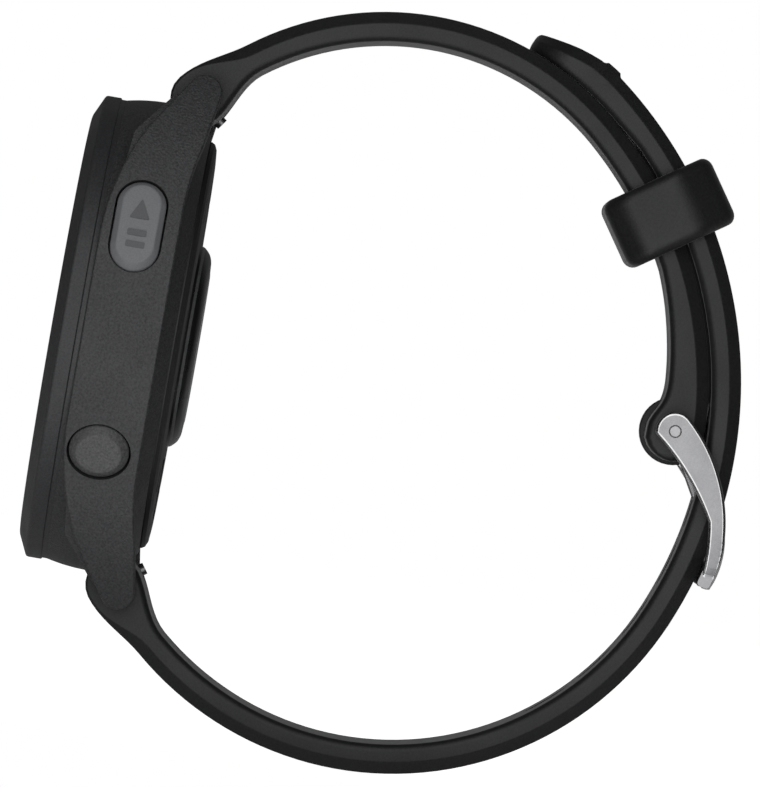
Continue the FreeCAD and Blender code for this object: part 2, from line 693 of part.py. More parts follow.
def make_buckle():
    x_in, x_out = ARM_X
    arms = [slab(arm_outline(), x_in, x_out), slab(arm_outline(), -x_out, -x_in)]
    crossbar = radial_block((-x_out, x_out), CROSSBAR_R, CROSSBAR_LENGTH, CROSSBAR_ANGLE)
    frame = union(arms + [crossbar])
    notch_r = (CROSSBAR_R[1] - NOTCH_DEPTH, 47)
    notch = radial_block((-1.4, 1.4), notch_r, 5, CROSSBAR_ANGLE)
    frame = frame.cut(notch).cut(rod(PIN, PIN_TIP_R + RUNNING_GAP, -13, 13))
    save("buckle_frame", frame)
    shaft = rod(PIN, PIN_R, -PIN_SHAFT_HALF, PIN_SHAFT_HALF)
    tips = rod(PIN, PIN_TIP_R, -x_out, x_out)
    save("buckle_pin", shaft.fuse(tips))
    eye = rod(PIN, 1.6, -1.6, 1.6)
    low = tongue_tip_r() - TONGUE_T / 2
    high = tongue_tip_r() + TONGUE_T / 2
    half = TONGUE_WIDTH / 2
    tip = band(WRAP, low, high, TONGUE_END_ANGLE, TONGUE_BEND_ANGLE, half)
    tongue = union([eye, tongue_bar(TONGUE_T, half), tip])
    save("buckle_tongue", tongue.cut(rod(PIN, PIN_R + RUNNING_GAP, -3, 3)))


# ---- spring bars ----
def knob_direction(towards):
    turn = math.radians(towards)
    return Vector(0, math.cos(turn), math.sin(turn))


def make_spring_bar(end):
    bar = BARS[end]
    towards = RELEASE_TURN if end == "upper" else -RELEASE_TURN
    out = knob_direction(towards)
    stem_r = 0.35
    tube = rod(bar, BAR_TUBE_R, -9.6, 9.9).cut(rod(bar, BAR_BORE_R, -10, 10))
    slot_low = RELEASE_X - stem_r - 0.1
    slot_high = RELEASE_X + RELEASE_TRAVEL + stem_r + 0.1
    slot = Part.makeBox(slot_high - slot_low, 2, 2 * stem_r + 0.2,
                        Vector(slot_low, 0, -stem_r - 0.1))
    slot.rotate(ZERO, X_AXIS, towards)
    slot.translate(side(bar))
    save(end + "_bar_tube", tube.cut(slot))
    plug_x = 2.0
    plug = rod(bar, BAR_BORE_R, plug_x, 9.9).fuse(rod(bar, BAR_TIP_R, 9.9, BAR_TIP_X))
    save(end + "_bar_tip", plug)
    shaft_end = -5.0
    shaft = rod(bar, BAR_BORE_R - RUNNING_GAP, -10.2, shaft_end)
    tip = rod(bar, BAR_TIP_R, -BAR_TIP_X, -10.2)
    stem = Part.makeCylinder(stem_r, 2.7, side(bar, RELEASE_X), out)
    knob = Part.makeCylinder(0.6, 0.65, side(bar, RELEASE_X) + out * 2.6, out)
    save(end + "_release_pin", union([shaft, tip, stem, knob]))
    wire_r = 0.11
    coil_r = 0.42
    length = plug_x - shaft_end - 2 * wire_r - 0.1
    helix = Part.makeHelix(0.62, length, coil_r)
    start = Part.Circle(Vector(coil_r, 0, 0), Y_AXIS, wire_r).toShape()
    coil = Part.Wire(helix).makePipeShell([Part.Wire(start)], True, True)
    coil.rotate(ZERO, Y_AXIS, 90)
    coil.translate(side(bar, shaft_end + wire_r + 0.05))
    save(end + "_bar_spring", coil)


def main():
    os.makedirs("parts", exist_ok=True)
    make_front()
    make_housing()
    make_keys()
    make_rear()
    make_sensor()
    make_inside()
    make_upper_strap()
    make_lower_strap()
    make_keeper()
    make_buckle()
    for end in BARS:
        make_spring_bar(end)


main()
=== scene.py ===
import json
import math

import bmesh
import bpy
from mathutils import Matrix, Vector


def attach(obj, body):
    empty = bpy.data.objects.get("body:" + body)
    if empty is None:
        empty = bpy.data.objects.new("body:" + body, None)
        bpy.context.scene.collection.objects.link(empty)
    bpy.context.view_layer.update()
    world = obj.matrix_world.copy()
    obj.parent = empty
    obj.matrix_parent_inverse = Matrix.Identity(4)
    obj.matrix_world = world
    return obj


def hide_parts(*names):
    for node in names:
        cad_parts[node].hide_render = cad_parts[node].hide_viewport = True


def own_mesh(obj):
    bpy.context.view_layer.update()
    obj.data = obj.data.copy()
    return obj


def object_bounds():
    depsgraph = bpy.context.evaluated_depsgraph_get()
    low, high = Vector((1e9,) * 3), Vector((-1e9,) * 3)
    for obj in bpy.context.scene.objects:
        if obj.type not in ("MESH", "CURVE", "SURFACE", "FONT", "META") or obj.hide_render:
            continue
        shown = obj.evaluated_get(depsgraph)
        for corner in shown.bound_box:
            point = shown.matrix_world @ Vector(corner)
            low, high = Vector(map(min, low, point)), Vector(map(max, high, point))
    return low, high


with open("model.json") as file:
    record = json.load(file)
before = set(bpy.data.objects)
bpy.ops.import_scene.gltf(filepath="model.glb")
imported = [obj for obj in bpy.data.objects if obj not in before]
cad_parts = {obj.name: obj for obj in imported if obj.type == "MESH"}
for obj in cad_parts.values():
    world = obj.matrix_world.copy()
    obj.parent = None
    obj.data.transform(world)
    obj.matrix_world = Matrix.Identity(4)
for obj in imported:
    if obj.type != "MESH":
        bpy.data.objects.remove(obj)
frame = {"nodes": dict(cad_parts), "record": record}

cad_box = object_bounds()

# A buckled GPS running watch.  The case faces -Y, its sensor faces +Y, +Z is
# 12 o'clock and +X is the 3 o'clock side.  Shapes are worked out in millimetres,
# side-view points are (Y, Z), and angles are in degrees.
MM = 0.001

# ---- strap loop ----
WRAP = (10.34, -1.50)
WRAP_R = 43.45
STRAP_T = 2.9
INNER_WRAP_R = 40.25     # outer face of the upper strap under the lap
UPPER_CENTRE = (17.52, 6.78)
UPPER_R = 29.3
UPPER_ROOT = 141.1       # angle of the spring bar; the strap thins over the sweep from there
UPPER_SWEEP = -14
UPPER_JOIN = 49.07       # where the arc meets the wrap circle
NECK_END = 2.4           # where the neck ends at the buckle pin, seen from the wrap's centre
LOWER_CENTRE = (20.63, -5.94)
LOWER_R = 32.25
LOWER_ROOT = 216.4
LOWER_SWEEP = 13
LOWER_JOIN = 360 - 23.36
BAR_Y = -4.1
BAR_Z = 24.2
ROOT_HALF = 10.98
WRAP_HALF = 10.0
ROOT_R = 2.65            # reach of the root's round end outwards and inwards from the bar
ROOT_INNER = 2.85
STRAP_TIP = 65.2
HOLE_ANGLE = -7.5
HOLE_PITCH = 6.4
HOLE_R = 1.3
HOLE_REACH = 0.7
HOLES = range(-4, 7)
PIN = (47.56, 0.07)
PIN_ANGLE = 2.42
BOSS_R = 2.95
FORK_R = 3.35
FORK_HALF = 1.85
BAR_BORE_R = 0.96
PIN_BORE_R = 0.76
KNOB_TURN = -36.0
KEEPER_ANGLE = 34.4
KEEPER_HALF = 3.525      # half of the keeper's length along the straps

# ---- buckle ----
ARM_INSIDE = 10.25
ARM_OUTSIDE = 11.85
ARM_BEVEL = 0.32
FOOT_TOP = -9.5          # height below which the arms turn in
FOOT_TURN = 0.065
CROSSBAR_ANGLE = -15.4
CROSSBAR_R = 44.375
CROSSBAR_HALF = 10.8

# ---- case ----
SIDE_R = 43.4
SIDE_X = 20.2
KEY_Y = -7.45
KEY_PROUD = 0.45
CAP_REAR_R = 22.52       # distance from the case's axis to a cap's flat rear
PRINT_FRONT = -12.74     # lit and printed layers just behind the lens
PRINT_REAR = -12.68
# A cap's size is the reach of its round ends, half front to rear, and half its straight run.
STADIUM = (2.4, 2.4, 2.0)
OVAL = (2.525, 2.95, 0.0)
KEYS = {                 # place round the case, counted from 3 o'clock towards 12, and size
    "start_key": (26.4, STADIUM),
    "back_key": (-28.2, OVAL),
    "light_key": (151.8, OVAL),
    "up_key": (180.0, OVAL),
    "down_key": (208.2, OVAL),
}


# ---- plane geometry ----
def polar(centre, radius, degrees):
    """Point at a radius and an angle from a centre."""
    turn = math.radians(degrees)
    return (centre[0] + radius * math.cos(turn), centre[1] + radius * math.sin(turn))


def direction(degrees):
    """Unit vector at an angle."""
    return polar((0, 0), 1, degrees)


def along(point, vector, distance):
    return (point[0] + vector[0] * distance, point[1] + vector[1] * distance)


def steps(start, end, count):
    """Evenly spaced values from start to end, both included."""
    return [start + (end - start) * i / count for i in range(count + 1)]


def ease(value, start, end):
    """0 at start, 1 at end, with a smooth run between them."""
    t = min(1.0, max(0.0, (value - start) / (end - start)))
    return t * t * (3 - 2 * t)


def table_at(table, value):
    """Result for a value, read between the lines of a short (value, result) table."""
    for (a, low), (b, high) in zip(table, table[1:]):
        if value <= b:
            t = max(0.0, (value - a) / (b - a))
            return low + (high - low) * t
    return table[-1][1]


def arc_points(a, via, b, count):
    """Points along the circular arc from a through via to b."""
    ax, ay, bx, by, cx, cy = *a, *via, *b
    d = 2 * (ax * (by - cy) + bx * (cy - ay) + cx * (ay - by))
    sa, sb, sc = ax * ax + ay * ay, bx * bx + by * by, cx * cx + cy * cy
    centre = (
        (sa * (by - cy) + sb * (cy - ay) + sc * (ay - by)) / d,
        (sa * (cx - bx) + sb * (ax - cx) + sc * (bx - ax)) / d,
    )
    radius = math.hypot(ax - centre[0], ay - centre[1])
    angles = [math.degrees(math.atan2(p[1] - centre[1], p[0] - centre[0])) for p in (a, via, b)]
    sweep = (angles[2] - angles[0]) % 360
    if (angles[1] - angles[0]) % 360 > sweep:
        sweep -= 360
    return [polar(centre, radius, angles[0] + sweep * i / count) for i in range(count + 1)]


def rounded(corners, segments=4):
    """Closed outline from (u, v, radius) corners, each corner rounded."""
    outline = []
    count = len(corners)
    for i, (u, v, radius) in enumerate(corners):
        corner = Vector((u, v))
        before = Vector(corners[i - 1][:2]) - corner
        after = Vector(corners[(i + 1) % count][:2]) - corner
        if radius <= 0:
            outline.append((u, v))
            continue
        reach = min(radius, before.length * 0.49, after.length * 0.49)
        start = corner + before.normalized() * reach
        end = corner + after.normalized() * reach
        for k in range(segments + 1):
            t = k / segments
            p = start * (1 - t) ** 2 + corner * 2 * t * (1 - t) + end * t * t
            outline.append((p.x, p.y))
    return outline


def box(u_low, u_high, v_low, v_high, radius=0.0, segments=4):
    """Outline of a rectangle, with rounded corners when a radius is given."""
    corners = ((u_low, v_low), (u_high, v_low), (u_high, v_high), (u_low, v_high))
    return rounded([(u, v, radius) for u, v in corners], segments)


def inset(outline, distance):
    """Outline moved inwards along its vertex normals."""
    count = len(outline)
    area = sum(
        outline[i - 1][0] * outline[i][1] - outline[i][0] * outline[i - 1][1] for i in range(count)
    )
    sign = 1 if area > 0 else -1
    moved = []
    for i, p in enumerate(outline):
        before, after = outline[i - 1], outline[(i + 1) % count]
        t = Vector((after[0] - before[0], after[1] - before[1])).normalized()
        moved.append((p[0] - sign * t.y * distance, p[1] + sign * t.x * distance))
    return moved


# ---- meshes ----
def new_object(name, points, faces, materials):
    """Mesh object from points in millimetres, with its faces turned outwards."""
    mesh = bpy.data.meshes.new(name)
    mesh.from_pydata([Vector(p) * MM for p in points], [], faces)
    for material in materials:
        mesh.materials.append(material)
    shape = bpy.data.objects.new(name, mesh)
    bpy.context.scene.collection.objects.link(shape)
    build = bmesh.new()
    build.from_mesh(mesh)
    bmesh.ops.recalc_face_normals(build, faces=build.faces)
    build.to_mesh(mesh)
    build.free()
    return shape


def loft(name, loops, materials, ring=False, rims=()):
    """Skin over a row of closed loops; loops numbered in rims take the second material."""
    size = len(loops[0])
    points = [p for loop in loops for p in loop]
    faces, slots = [], []
    pairs = list(zip(range(len(loops) - 1), range(1, len(loops))))
    if ring:
        pairs.append((len(loops) - 1, 0))
    for low, high in pairs:
        for k in range(size):
            m = (k + 1) % size
            faces.append((low * size + k, low * size + m, high * size + m, high * size + k))
            slots.append(1 if low in rims else 0)
    if not ring:
        last = (len(loops) - 1) * size
        faces += [tuple(range(size)), tuple(range(last + size - 1, last - 1, -1))]
        slots += [0, 0]
    shape = new_object(name, points, faces, materials)
    for polygon, slot in zip(shape.data.polygons, slots):
        polygon.material_index = slot
    return shape


def prisms(name, pairs, material):
    """Flat shapes joined in one mesh, each between a front and a rear outline."""
    points, faces = [], []
    for front, rear in pairs:
        base, size = len(points), len(front)
        points += front + rear
        faces.append(tuple(range(base, base + size)))
        faces.append(tuple(range(base + 2 * size - 1, base + size - 1, -1)))
        for k in range(size):
            m = (k + 1) % size
            faces.append((base + k, base + m, base + size + m, base + size + k))
    return new_object(name, points, faces, [material])


def lathe(name, outline, materials, segments=160, on_axis=False):
    """Solid turned about the case's axis from a (radius, y) outline; on_axis caps its two ends."""
    loops = []
    for i in range(segments):
        turn = 2 * math.pi * i / segments
        c, s = math.cos(turn), math.sin(turn)
        loops.append([(r * c, y, r * s) for r, y in outline])
    if not on_axis:
        return loft(name, loops, materials, ring=True)
    rows = [[loop[k] for loop in loops] for k in range(len(outline))]
    return loft(name, rows, materials)


def rod(name, centre, radius, x_low, x_high, materials, bevel=0.0, segments=40):
    """Round bar along X with softened ends."""
    ends = [(x_low, radius - bevel), (x_low + bevel, radius)]
    ends += [(x_high - bevel, radius), (x_high, radius - bevel)]
    loops = []
    for x, r in ends:
        loops.append([(x, *polar(centre, r, 360 * k / segments)) for k in range(segments)])
    return loft(name, loops, materials)


def bake(shape):
    """Replace a shape's mesh by the result of its modifiers."""
    graph = bpy.context.evaluated_depsgraph_get()
    mesh = bpy.data.meshes.new_from_object(shape.evaluated_get(graph))
    shape.modifiers.clear()
    shape.data = mesh


def combine(shape, tool, operation):
    """Boolean of a shape with a tool, which is used up."""
    modifier = shape.modifiers.new("combine", "BOOLEAN")
    modifier.operation = operation
    modifier.solver = "EXACT"
    modifier.object = tool
    bpy.context.view_layer.update()
    bake(shape)
    bpy.data.objects.remove(tool)


def drill(shape, centre, radius, half, materials=(), bevel=0.0):
    """Cut a round hole along X, reaching half to each side."""
    combine(shape, rod("bore", centre, radius, -half, half, materials, bevel), "DIFFERENCE")


def soften(shape, degrees=34):
    """Smooth shading that keeps edges sharper than an angle, weighted by face area."""
    build = bmesh.new()
    build.from_mesh(shape.data)
    bmesh.ops.remove_doubles(build, verts=build.verts, dist=0.002 * MM)
    limit = math.radians(degrees)
    for face in build.faces:
        face.smooth = True
    for edge in build.edges:
        edge.smooth = edge.is_manifold and edge.calc_face_angle(0) < limit
    build.to_mesh(shape.data)
    build.free()
    weighted = shape.modifiers.new("weighted", "WEIGHTED_NORMAL")
    weighted.keep_sharp = True


def fit(shape, body, slot, *nodes, degrees=34):
    """Finish a piece and attach it to a CAD body in place of CAD nodes."""
    soften(shape, degrees)
    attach(shape, body)
    if nodes:
        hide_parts(*nodes)
    return shape


# ---- materials ----
class Nodes:
    """A material's node tree around one Principled shader."""

    def __init__(self, name):
        self.material = bpy.data.materials.new(name)
        self.material.use_nodes = True
        self.tree = self.material.node_tree
        self.shader = self.tree.nodes["Principled BSDF"]
        self.place = self.tree.nodes.new("ShaderNodeTexCoord").outputs["Object"]

    def add(self, kind, inputs=(), **settings):
        node = self.tree.nodes.new("ShaderNode" + kind)
        for key, value in settings.items():
            setattr(node, key, value)
        for key, value in dict(inputs).items():
            if isinstance(value, bpy.types.NodeSocket):
                self.tree.links.new(value, node.inputs[key])
            else:
                node.inputs[key].default_value = value
        return node

    def noise(self, size_mm, detail=2.0, stretch=(1, 1, 1)):
        place = self.add("Mapping", {"Vector": self.place, "Scale": stretch}).outputs[0]
        inputs = {"Vector": place, "Scale": 1 / (size_mm * MM), "Detail": detail}
        return self.add("TexNoise", inputs).outputs["Fac"]

    def cells(self, size_mm):
        inputs = {"Vector": self.place, "Scale": 1 / (size_mm * MM)}
        return self.add("TexVoronoi", inputs).outputs["Distance"]

    def span(self, value, low, high, start=0.3, end=0.7):
        inputs = {"Value": value, "From Min": start, "From Max": end, "To Min": low, "To Max": high}
        return self.add("MapRange", inputs).outputs["Result"]

    def mix(self, factor, a, b):
        node = self.tree.nodes.new("ShaderNodeMix")
        node.data_type = "RGBA"
        self.tree.links.new(factor, node.inputs[0])
        node.inputs[6].default_value = (*a, 1)
        node.inputs[7].default_value = (*b, 1)
        return node.outputs[2]

    def link(self, output, socket):
        self.tree.links.new(output, self.shader.inputs[socket])

    def bump(self, height, strength, depth_mm):
        inputs = {"Height": height, "Strength": strength, "Distance": depth_mm * MM}
        self.link(self.add("Bump", inputs).outputs[0], "Normal")

    def set(self, **values):
        """Uniform values on the shader's own sockets; _ stands for a space."""
        for key, value in values.items():
            self.shader.inputs[key.replace("_", " ")].default_value = value


def moulded(name, dark, light, rough, grain_mm, bump, depth_mm=0.02, patch_mm=4.0, **more):
    """Moulded polymer or rubber: fine grain, and a finish that varies a little in patches."""
    n = Nodes(name)
    grain = n.noise(grain_mm, detail=3.0)
    n.link(n.mix(n.span(grain, 0, 1), dark, light), "Base Color")
    n.link(n.span(n.noise(patch_mm, detail=4.0), rough - 0.05, rough + 0.05), "Roughness")
    n.bump(grain, bump, depth_mm)
    n.set(**more)
    return n.material


def metal(name, colour, rough, grain_mm, bump, stretch=(1, 1, 1)):
    """Metal with fine grain, which a stretch turns into machining lines."""
    n = Nodes(name)
    grain = n.noise(grain_mm, detail=3.0, stretch=stretch)
    shade = [c * 0.82 for c in colour]
    n.link(n.mix(n.span(grain, 0, 1), shade, colour), "Base Color")
    n.link(n.span(n.noise(2.5, detail=3.0), rough - 0.06, rough + 0.06), "Roughness")
    n.bump(grain, bump, 0.01)
    n.set(Metallic=1.0)
    return n.material


def clear(name, tint, rough):
    """Clear or tinted glass with faint smears."""
    n = Nodes(name)
    n.link(n.span(n.noise(6.0, detail=4.0), rough, rough + 0.05), "Roughness")
    n.link(n.mix(n.noise(9.0), tint, [c * 0.97 for c in tint]), "Base Color")
    n.set(IOR=1.5, Transmission_Weight=1.0)
    return n.material


def glowing(name, colour, strength):
    """Lit display element; a fine cell pattern stands for its pixels."""
    n = Nodes(name)
    n.link(n.mix(n.span(n.cells(0.08), 0, 1, 0, 0.7), colour, [c * 0.55 for c in colour]),
           "Emission Color")
    n.set(Emission_Strength=strength, Roughness=0.4)
    n.shader.inputs["Base Color"].default_value = (*[c * 0.1 for c in colour], 1)
    return n.material


def board(name, mask, copper):
    """Solder mask with a pattern of tracks showing through."""
    n = Nodes(name)
    tracks = n.span(n.cells(1.1), 0, 1, 0.32, 0.36)
    n.link(n.mix(tracks, mask, copper), "Base Color")
    n.link(n.span(n.noise(0.6), 0.3, 0.45), "Roughness")
    n.bump(tracks, 0.3, 0.02)
    return n.material


def foil(name, colour):
    """Creased metal foil of a battery cell."""
    n = Nodes(name)
    crease = n.noise(1.6, detail=5.0)
    n.link(n.mix(crease, colour, [c * 0.8 for c in colour]), "Base Color")
    n.link(n.span(crease, 0.3, 0.5), "Roughness")
    n.bump(crease, 0.4, 0.05)
    n.set(Metallic=0.9)
    return n.material


SHELL = moulded("housing_grain", (0.025, 0.0255, 0.027), (0.064, 0.065, 0.068), 0.5, 0.22, 1.0,
                depth_mm=0.07)
SHELL_PARTS = moulded("cover_grain", (0.013, 0.013, 0.014), (0.022, 0.022, 0.024), 0.5, 0.2, 0.3)
BEZEL = moulded("bezel_grain", (0.028, 0.029, 0.031), (0.052, 0.053, 0.056), 0.48, 0.2, 0.7,
                depth_mm=0.04)
KEY_GREY = moulded("start_key_grain", (0.185, 0.19, 0.2), (0.225, 0.23, 0.24), 0.5, 0.16, 0.3)
KEY_DARK = moulded("key_grain", (0.055, 0.0555, 0.057), (0.12, 0.121, 0.124), 0.48, 0.2, 0.7,
                   depth_mm=0.04)
GLYPH = moulded("key_print", (0.1, 0.103, 0.108), (0.13, 0.133, 0.138), 0.5, 0.1, 0.2)
SILICONE = moulded("silicone", (0.008, 0.0082, 0.0088), (0.018, 0.0182, 0.0195), 0.5, 0.2, 0.5,
                   depth_mm=0.03, patch_mm=7.0, Sheen_Weight=0.25, Sheen_Roughness=0.3)
RUBBER = moulded("seal_rubber", (0.012, 0.012, 0.012), (0.02, 0.02, 0.02), 0.7, 0.1, 0.3)
INNER = moulded("glass_filled", (0.05, 0.05, 0.05), (0.08, 0.08, 0.08), 0.6, 0.2, 0.5)
TRIM = moulded("sensor_trim", (0.01, 0.01, 0.011), (0.016, 0.016, 0.017), 0.3, 0.3, 0.05)
TRIM_LIGHT = moulded("sensor_band", (0.1, 0.102, 0.106), (0.14, 0.142, 0.146), 0.35, 0.3, 0.05)
BLASTED = metal("blasted_steel", (0.4, 0.4, 0.41), 0.40, 0.1, 0.5)
# Polished rim finish: its colour, lighter than the blasted steel's, paints the highlights along the
# buckle's edges.
POLISHED_HIGHLIGHT = metal("polished_steel_highlight", (0.78, 0.78, 0.79), 0.16, 0.6, 0.05)
STEEL = metal("turned_steel", (0.45, 0.45, 0.46), 0.36, 0.25, 0.2, (0.2, 1, 1))
GOLD = metal("gold_plate", (0.85, 0.64, 0.28), 0.25, 0.2, 0.1)
COPPER = metal("antenna_alloy", (0.74, 0.5, 0.3), 0.35, 0.3, 0.2)
TINNED = metal("tinned_sheet", (0.68, 0.68, 0.69), 0.35, 0.5, 0.2, (1, 1, 0.2))
LENS_GLASS = clear("lens_glass", (0.97, 0.98, 1.0), 0.01)
SENSOR_GLASS = clear("sensor_glass", (0.16, 0.15, 0.17), 0.03)
EMITTER = clear("emitter_epoxy", (0.75, 0.85, 0.7), 0.1)
PANEL = moulded("display_black", (0.004, 0.004, 0.005), (0.007, 0.007, 0.008), 0.2, 0.5, 0.02)
CIRCUIT = board("solder_mask", (0.012, 0.07, 0.035), (0.05, 0.17, 0.07))
FOIL = foil("cell_foil", (0.66, 0.66, 0.68))
MEMBRANE = moulded("porous_film", (0.7, 0.7, 0.7), (0.82, 0.82, 0.82), 0.8, 0.08, 0.6)

SLOT_MATERIALS = {
    "bezel_polymer": BEZEL,
    "housing_polymer": SHELL,
    "cover_glass": LENS_GLASS,
    "display": PANEL,
    "inner_frame": INNER,
    "seal_rubber": RUBBER,
    "antenna_metal": COPPER,
    "key_polymer": KEY_GREY,
    "dark_key_polymer": KEY_DARK,
    "small_steel": STEEL,
    "strap_silicone": SILICONE,
    "buckle_steel": BLASTED,
    "cover_polymer": SHELL_PARTS,
    "sensor_window": SENSOR_GLASS,
    "sensor_trim": TRIM,
    "circuit_board": CIRCUIT,
    "emitter": EMITTER,
    "contact_gold": GOLD,
    "cell_foil": FOIL,
    "can_steel": TINNED,
    "membrane": MEMBRANE,
}
for part in frame["record"]["subparts"]:
    node = frame["nodes"][part["node"]]
    node.data.materials.clear()
    node.data.materials.append(SLOT_MATERIALS[part["material_slot"]])


# ---- bezel, lens and display ----
def make_front():
    bezel = lathe("bezel_ring", rounded([
        (19.85, -14.1, 0.12), (20.9, -14.1, 0.25), (23.05, -13.1, 0.25), (23.05, -11.6, 0.18),
        (22.9, -11.52, 0.05), (22.9, -11.06, 0.0), (19.7, -11.06, 0.0), (19.7, -9.85, 0.1),
        (18.6, -9.85, 0.1), (18.6, -12.45, 0.05), (19.85, -12.45, 0.05),
    ]), [BEZEL], segments=240)
    fit(bezel, "case", "bezel_polymer", "bezel")
    lens = lathe("cover_lens", [
        (0.02, -14.05), (19.3, -14.05), (19.42, -14.03), (19.68, -13.8), (19.75, -13.7),
        (19.75, -12.76), (0.02, -12.76),
    ], [LENS_GLASS], segments=200, on_axis=True)
    fit(lens, "case", "cover_glass", "lens")
    border = lathe("lens_border", box(17.2, 19.74, PRINT_FRONT, -12.66), [PANEL])
    fit(border, "case", "cover_glass")


def dial_piece(name, shapes, colour, strength):
    """Lit shapes on the display, from lists of (x, z) corners."""
    pairs = [[[(x, y, z) for x, z in shape] for y in (PRINT_FRONT, PRINT_REAR)] for shape in shapes]
    fit(prisms(name, pairs, glowing(name + "_glow", colour, strength)), "case", "display")


def radial_bar(degrees, r_in, r_out, half):
    """Bar of a dial, counted clockwise from 12 o'clock as the wearer sees it."""
    turn = math.radians(90 - degrees)
    out = Vector((math.cos(turn), math.sin(turn)))
    across = Vector((-out.y, out.x)) * half
    ends = (out * r_in - across, out * r_in + across, out * r_out + across, out * r_out - across)
    return [tuple(p) for p in ends]


SEGMENTS = {
    "a": ((0, 2), (1, 2)), "b": ((1, 2), (1, 1)), "c": ((1, 1), (1, 0)), "d": ((1, 0), (0, 0)),
    "e": ((0, 0), (0, 1)), "f": ((0, 1), (0, 2)), "g": ((0, 1), (1, 1)),
}
DIGITS = {"0": "abcdef", "1": "bc", "9": "abcdfg"}


def digit_bars(digit, x, z, width, height, thickness):
    """Seven-segment digit with its left edge at x and its middle at z."""
    bars = []
    for key in DIGITS[digit]:
        (ax, az), (bx, bz) = SEGMENTS[key]
        a = Vector((x + ax * width, z + (az - 1) * height / 2))
        b = Vector((x + bx * width, z + (bz - 1) * height / 2))
        run = (b - a).normalized()
        side = Vector((-run.y, run.x)) * thickness / 2
        a += run * thickness * 0.35
        b -= run * thickness * 0.35
        tip = run * thickness * 0.3
        bars.append([tuple(p) for p in (a - side, a - tip, a + side, b + side, b + tip, b - side)])
    return bars


def make_dial():
    """Minute ticks, an arc of progress, the time as generic digits, and a small graph."""
    ticks = []
    for minute in range(60):
        inner, half = (15.9, 0.06) if minute % 5 else (15.2, 0.14)
        ticks.append(radial_bar(6 * minute, inner, 16.6, half))
    dial_piece("dial_ticks", ticks, (0.75, 0.8, 0.85), 0.8)
    done = [radial_bar(i, 13.8, 14.6, 0.11) for i in range(-120, 96)]
    dial_piece("dial_progress", done, (0.05, 0.75, 0.85), 0.9)
    left = [radial_bar(i, 14.1, 14.3, 0.11) for i in range(97, 121)]
    dial_piece("dial_remaining", left, (0.2, 0.25, 0.28), 0.4)
    bars = []
    for digit, x in (("1", -11.0), ("0", -6.2), ("0", 1.9), ("9", 6.7)):
        bars += digit_bars(digit, x, 1.6, 3.0, 6.4, 0.75)
    for z in (3.0, 0.2):
        bars.append(box(-1.05, -0.25, z - 0.4, z + 0.4))
    dial_piece("dial_time", bars, (0.95, 0.97, 1.0), 0.9)
    graph = []
    low = -8.6
    for i in range(17):
        x = -6.4 + 0.8 * i
        height = 1.0 + 1.6 * abs(math.sin(0.55 * i) * math.cos(0.21 * i))
        graph.append(box(x - 0.26, x + 0.26, low, low + height))
    dial_piece("dial_graph", graph, (0.55, 0.9, 0.25), 0.7)


# ---- keys ----
def key_axes(degrees):
    """Unit vectors out of the case and across a key, in (X, Z)."""
    out = Vector(direction(degrees))
    return out, Vector((-out.y, out.x))


def side_distance(out, across, shift):
    """Distance from the case's axis to the keys' outer face along a key's direction."""
    centre = Vector((-SIDE_X if out.x > 0 else SIDE_X, 0))
    radius = SIDE_R + KEY_PROUD
    offset = shift - centre.dot(across)
    return centre.dot(out) + math.sqrt(radius * radius - offset * offset)


def cap_loop(degrees, size, edge_inset, depth, count=20):
    """One closed loop of a key cap, at an inset from its rim and a depth below its face."""
    half_across, half_deep, reach = size
    out, across = key_axes(degrees)
    loop = []
    for sign in (1, -1):
        for k in range(count + 1):
            turn = math.pi * k / count
            a = sign * (reach + (half_across - edge_inset) * math.sin(turn))
            b = sign * (half_deep - edge_inset) * math.cos(turn)
            r = max(CAP_REAR_R, side_distance(out, across, a) - depth)
            p = out * r + across * a
            loop.append((p.x, KEY_Y + b, p.y))
    return loop


def key_stem(degrees):
    """Round stem with a groove for its clip, from (distance from the axis, radius) steps."""
    out, across = key_axes(degrees)
    loops = []
    for r, radius in ((19.2, 0.7), (19.3, 0.8), (19.7, 0.8), (19.75, 0.52), (20.15, 0.52),
                      (20.2, 0.8), (22.8, 0.8)):
        loop = []
        for k in range(28):
            turn = 2 * math.pi * k / 28
            p = out * r + across * radius * math.sin(turn)
            loop.append((p.x, KEY_Y + radius * math.cos(turn), p.y))
        loops.append(loop)
    return loops


def make_keys():
    """Caps with a rolled edge, from (inset from the rim, depth below the face) rows."""
    for name, (degrees, size) in KEYS.items():
        start = size == STADIUM
        rise = 0.5 if start else 0.62
        shoulder = 0.55 if start else 0.72
        rows = [(0.0, 9.0), (0.0, rise + 0.1), (0.03, rise + 0.02), (0.1, rise - 0.06),
                (shoulder - 0.08, 0.06), (shoulder, 0.015), (shoulder + 0.12, 0.0),
                (1.4, 0.015), (2.1, 0.03)]
        material = KEY_GREY if start else KEY_DARK
        loops = [cap_loop(degrees, size, *row) for row in rows]
        cap = loft(name + "_cap", loops, [material])
        stem = loft(name + "_stem", key_stem(degrees), [material])
        combine(cap, stem, "UNION")
        slot = "key_polymer" if start else "dark_key_polymer"
        fit(cap, name, slot, name, degrees=50)
        if start:
            make_glyph(degrees)


def make_glyph(degrees):
    """Play triangle and pause bars printed on the start key."""
    out, across = key_axes(degrees)
    shapes = [rounded([(0.45, -1.0, 0.2), (0.45, 1.0, 0.2), (2.45, 0.0, 0.25)])]
    shapes += [box(low, low + 0.6, -0.95, 0.95, 0.15) for low in (-2.4, -1.25)]
    pairs = []
    for shape in shapes:
        layers = []
        for rise in (0.025, -0.06):
            layer = []
            for a, b in shape:
                p = out * (side_distance(out, across, a) + rise) + across * a
                layer.append((p.x, KEY_Y + b, p.y))
            layers.append(layer)
        pairs.append(layers)
    fit(prisms("start_key_glyph", pairs, GLYPH), "start_key", "key_polymer")


